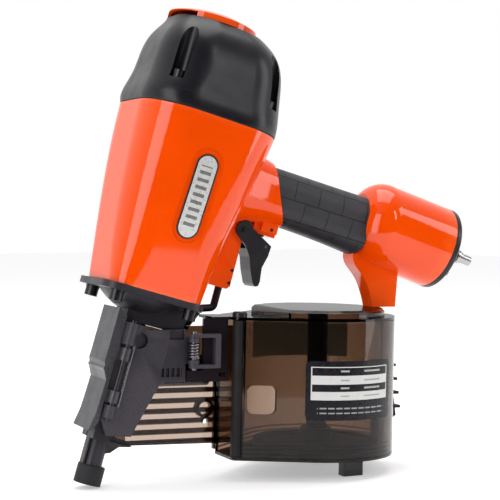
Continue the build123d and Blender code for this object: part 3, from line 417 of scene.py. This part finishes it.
def rating_film():
    """Dark printed film with a plain white-ruled table and no lettering."""
    s = Shader("rating_film", (0.03, 0.03, 0.035), 0.28)
    s.set("Specular IOR Level", 0.2)
    split = s.add("ShaderNodeSeparateXYZ")
    s.links.new(s.place(MAGAZINE), split.inputs[0])
    across, up = split.outputs["X"], split.outputs["Z"]
    inside = band(s, across, *PLATE_OUTER)
    edge = s.math("SUBTRACT", inside, band(s, across, *PLATE_INNER))
    outline = s.math("MULTIPLY", edge, band(s, up, *PLATE_TABLE))
    rows = bands(s, up, PLATE_ROWS)
    white = s.math("MAXIMUM", outline, s.math("MULTIPLY", rows, inside))
    captions = bands(s, up, PLATE_CAPTIONS)
    dashes = s.math("LESS_THAN", s.math("FRACT", s.math("DIVIDE", across, PLATE_DASH)), 0.8)
    captions = s.math("MULTIPLY", captions, dashes)
    captions = s.math("MULTIPLY", captions, band(s, across, *PLATE_CAPTION_ACROSS))
    white = s.math("MAXIMUM", white, s.math("MULTIPLY", captions, 0.5))
    heads = bands(s, up, PLATE_HEADS)
    words = bands(s, across, PLATE_WORDS)
    heads = s.math("MULTIPLY", s.math("MULTIPLY", heads, words), 0.6)
    white = s.math("MAXIMUM", white, heads)
    entries = bands(s, up, PLATE_ENTRIES)
    entries = s.math("MULTIPLY", s.math("MULTIPLY", entries, words), 0.45)
    white = s.math("SUBTRACT", white, entries)
    color = s.mix(white, (0.010, 0.009, 0.012), (0.66, 0.66, 0.645))
    s.links.new(color, s.principled.inputs["Base Color"])
    s.vary_roughness(s.noise(200.0), 0.05)
    s.raise_by(s.noise(900.0, 2.0), 0.00002, 0.5)
    return s.material


def badge_silver():
    """Plain silver pill with a dark rim and a row of dark sunk bars."""
    s = Shader("badge_silver", (0.72, 0.72, 0.70), 0.3, 0.3)
    badge = badge_distance(s)
    rim = s.math("GREATER_THAN", badge["radial"], BADGE_RIM)
    bars = s.math("FRACT", s.math("DIVIDE", badge["up"], BADGE_BAR_PITCH))
    short = s.math("LESS_THAN", badge["across"], BADGE_BAR_HALF)
    straight = s.math("LESS_THAN", badge["beyond"], BADGE_END_REACH)
    inside = s.math("MULTIPLY", short, straight)
    bar = s.math("MULTIPLY", s.math("LESS_THAN", bars, BADGE_BAR_SHARE), inside)
    grey = s.mix(s.math("MULTIPLY", bar, 0.75), (0.74, 0.74, 0.72), (0.05, 0.05, 0.05))
    color = s.mix(rim, grey, (0.03, 0.03, 0.035))
    s.links.new(color, s.principled.inputs["Base Color"])
    s.vary_roughness(s.noise(300.0), 0.06)
    s.raise_by(s.math("SUBTRACT", 1.0, bar), 0.0003, 0.6)
    return s.material


# ---------------------------------------------------------------- which node wears what
MATERIALS = {
    "paint": orange_paint(),
    "cap": cap_plastic(),
    "grip": grip_rubber(),
    "rubber": plain_rubber(),
    "nose": cast_steel("blackened_casting", (0.012, 0.010, 0.014), 0.38),
    "door": cast_steel("door_coating", (0.022, 0.018, 0.025), 0.45, 0.1),
    "latch": cast_steel("latch_plate", (0.035, 0.033, 0.038), 0.34, 0.5),
    "bolts": brushed_metal("black_bolts", (0.05, 0.048, 0.052), 0.34),
    "steel": brushed_metal("bright_steel", (0.48, 0.47, 0.46), 0.24),
    "spring": brushed_metal("spring_steel", (0.20, 0.19, 0.20), 0.32),
    "aluminium": brushed_metal("machined_aluminium", (0.62, 0.62, 0.63), 0.3),
    "brass": brushed_metal("turned_brass", (0.58, 0.42, 0.18), 0.28),
    "moulding": plain_rubber("dark_moulding", (0.009, 0.007, 0.007)),
    "smoke_cover": smoked_plastic("smoked_cover", SMOKE_DENSITY),
    "smoke_guide": smoked_plastic("smoked_guide", GUIDE_DENSITY),
    "smoke_body": smoked_plastic("smoked_body", SMOKE_DENSITY, BLACK_FRAME_END),
    "film": rating_film(),
    "silver": badge_silver(),
}

WEARS = {
    "paint": ["body_housing", "exhaust_deflector"],
    "cap": ["cylinder_cap", "end_cap", "magazine_feet", "trigger"],
    "grip": ["grip_sleeve"],
    "rubber": [
        "cap_gasket", "sleeve_seals", "piston_bumper", "end_cap_gasket", "tip_cap", "rear_bumper",
        "piston_ring",
    ],
    "nose": ["nose_casting", "feeder_cylinder", "feeder_cylinder_cap", "contact_arm"],
    "door": ["side_door", "door_hinge_bracket"],
    "latch": ["latch_lever"],
    "bolts": [
        "cap_bolts", "nose_bolts", "nose_spring_washers", "deflector_screw", "end_cap_screws",
        "arm_bolts", "latch_pin", "roll_pins", "trigger_pins", "cover_hinge_pin",
    ],
    "steel": [
        "air_plug", "driver_blade", "safety_lever", "safety_lever_pin", "feed_piston",
        "pawl_carrier", "feed_pawl", "feed_pawl_pin", "check_pawl", "check_pawl_pin",
    ],
    "spring": [
        "contact_spring", "head_valve_spring", "feed_spring", "door_hinge_spring", "latch_spring",
        "door_hinge_pin",
    ],
    "aluminium": ["cylinder_sleeve", "piston"],
    "brass": ["trigger_valve_plunger"],
    "moulding": [
        "head_valve", "trigger_valve_body", "nail_platform", "nail_platform_post",
        "cover_hinge_barrel",
    ],
    "smoke_cover": ["magazine_cover"],
    "smoke_guide": ["feed_guide"],
    "smoke_body": ["magazine_body"],
    "film": ["rating_plate"],
    "silver": ["badge"],
}


def dress(node, material):
    """Gives a CAD node its finished material and smooth shading with crisp edges."""
    obj = frame["nodes"][node]
    obj.data.materials.clear()
    obj.data.materials.append(material)
    obj.data.polygons.foreach_set("use_smooth", [True] * len(obj.data.polygons))
    obj.data.set_sharp_from_angle(angle=math.radians(SHARP_ANGLE))


for name, nodes in WEARS.items():
    for node in nodes:
        dress(node, MATERIALS[name])


# ---------------------------------------------------------------- pieces the CAD leaves out
def curved_film(name, radius, arc, low, high, thickness, material):
    """Thin film on a cylinder about the drum's axis, between two angles and two heights."""
    centre = MAGAZINE.inverted() @ middle("nail_platform_post")
    bm = bmesh.new()
    rings = []
    inner = radius - thickness
    for k in range(LABEL_STEPS + 1):
        angle = math.radians(arc[0] + (arc[1] - arc[0]) * k / LABEL_STEPS)
        ring = []
        for r, z in ((radius, low), (radius, high), (inner, high), (inner, low)):
            place = Vector((centre.x + r * math.cos(angle), r * math.sin(angle), z))
            ring.append(bm.verts.new(MAGAZINE @ place))
        rings.append(ring)
    for a, b in zip(rings, rings[1:]):
        for i in range(4):
            bm.faces.new((a[i], a[(i + 1) % 4], b[(i + 1) % 4], b[i]))
    bm.faces.new(rings[0])
    bm.faces.new(list(reversed(rings[-1])))
    bmesh.ops.recalc_face_normals(bm, faces=bm.faces)
    mesh = bpy.data.meshes.new(name)
    bm.to_mesh(mesh)
    bm.free()
    piece = bpy.data.objects.new(name, mesh)
    piece.data.materials.append(material)
    bpy.context.scene.collection.objects.link(piece)
    return piece


def far_label():
    """Grey-green printed film behind the far wall of the magazine."""
    s = Shader("far_film", (0.52, 0.66, 0.60), 0.45)
    s.vary_color(s.noise(60.0), 0.08)
    s.vary_roughness(s.noise(200.0), 0.05)
    s.raise_by(s.noise(900.0, 2.0), 0.00002, 0.4)
    film = curved_film("far_label_film", LABEL_RADIUS, LABEL_ARC, LABEL_LOW, LABEL_HIGH,
                       LABEL_THICKNESS, s.material)
    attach(film, "housing")


far_label()


# ---------------------------------------------------------------- floor, light and camera
def studio_floor():
    mesh = bpy.data.meshes.new("floor")
    bm = bmesh.new()
    bmesh.ops.create_grid(bm, x_segments=2, y_segments=2, size=FLOOR_SIZE / 2)
    bmesh.ops.translate(bm, verts=bm.verts, vec=(0, FLOOR_SIZE / 2 - FLOOR_FRONT, 0))
    bm.to_mesh(mesh)
    bm.free()
    floor = bpy.data.objects.new("floor", mesh)
    bpy.context.scene.collection.objects.link(floor)
    s = Shader("floor_white", (0.92, 0.92, 0.92), 0.8)
    s.vary_color(s.noise(3.0), 0.01)
    s.set("Emission Color", WHITE)
    s.set("Emission Strength", FLOOR_GLOW)
    floor.data.materials.append(s.material)
    floor.location.z = -FLOOR_DROP


def area_light(name, place, size, power):
    """Softbox at a place, turned towards the tool."""
    data = bpy.data.lights.new(name, "AREA")
    data.shape = "RECTANGLE"
    data.size, data.size_y = size
    data.energy = power
    light = bpy.data.objects.new(name, data)
    light.location = place
    light.rotation_euler = (Vector(LIGHT_AIM) - Vector(place)).to_track_quat("-Z", "Y").to_euler()
    bpy.context.scene.collection.objects.link(light)


def studio_light():
    """White surround that darkens towards the front, so that gloss keeps a soft gradient."""
    world = bpy.data.worlds.new("studio")
    world.use_nodes = True
    nodes, links = world.node_tree.nodes, world.node_tree.links
    coords = nodes.new("ShaderNodeTexCoord")
    split = nodes.new("ShaderNodeSeparateXYZ")
    ramp = nodes.new("ShaderNodeValToRGB")
    ramp.color_ramp.elements[0].position = WORLD_DARK_UNTIL
    ramp.color_ramp.elements[0].color = WORLD_DARK
    ramp.color_ramp.elements[1].position = WORLD_WHITE_FROM
    ramp.color_ramp.elements[1].color = WHITE
    shift = nodes.new("ShaderNodeMapRange")
    shift.inputs["From Min"].default_value = -1.0
    links.new(coords.outputs["Generated"], split.inputs[0])
    links.new(split.outputs["Y"], shift.inputs["Value"])
    links.new(shift.outputs[0], ramp.inputs["Fac"])
    seen = nodes.new("ShaderNodeLightPath").outputs["Is Camera Ray"]
    backdrop = nodes.new("ShaderNodeMix")
    backdrop.data_type = "RGBA"
    color_inputs = [i for i in backdrop.inputs if i.enabled]
    links.new(seen, color_inputs[0])
    links.new(ramp.outputs["Color"], color_inputs[1])
    color_inputs[2].default_value = WHITE
    backdrop_color = next(o for o in backdrop.outputs if o.enabled)
    links.new(backdrop_color, nodes["Background"].inputs["Color"])
    nodes["Background"].inputs["Strength"].default_value = 1.0
    bpy.context.scene.world = world
    for light in LIGHTS:
        area_light(*light)


def photo_camera():
    data = bpy.data.cameras.new("camera")
    data.sensor_width = 36.0
    data.lens = CAMERA_LENS
    data.shift_y = CAMERA_SHIFT
    data.clip_end = 30.0
    camera = bpy.data.objects.new("camera", data)
    aside, back = CAMERA_FROM_MUZZLE
    camera.location = (MUZZLE.x + aside, MUZZLE.y + back, CAMERA_HEIGHT)
    camera.rotation_euler = (math.radians(90), 0, math.radians(-CAMERA_AZIMUTH))
    bpy.context.scene.collection.objects.link(camera)
    bpy.context.scene.camera = camera


studio_floor()
studio_light()
photo_camera()
bpy.context.scene.view_settings.view_transform = "Standard"
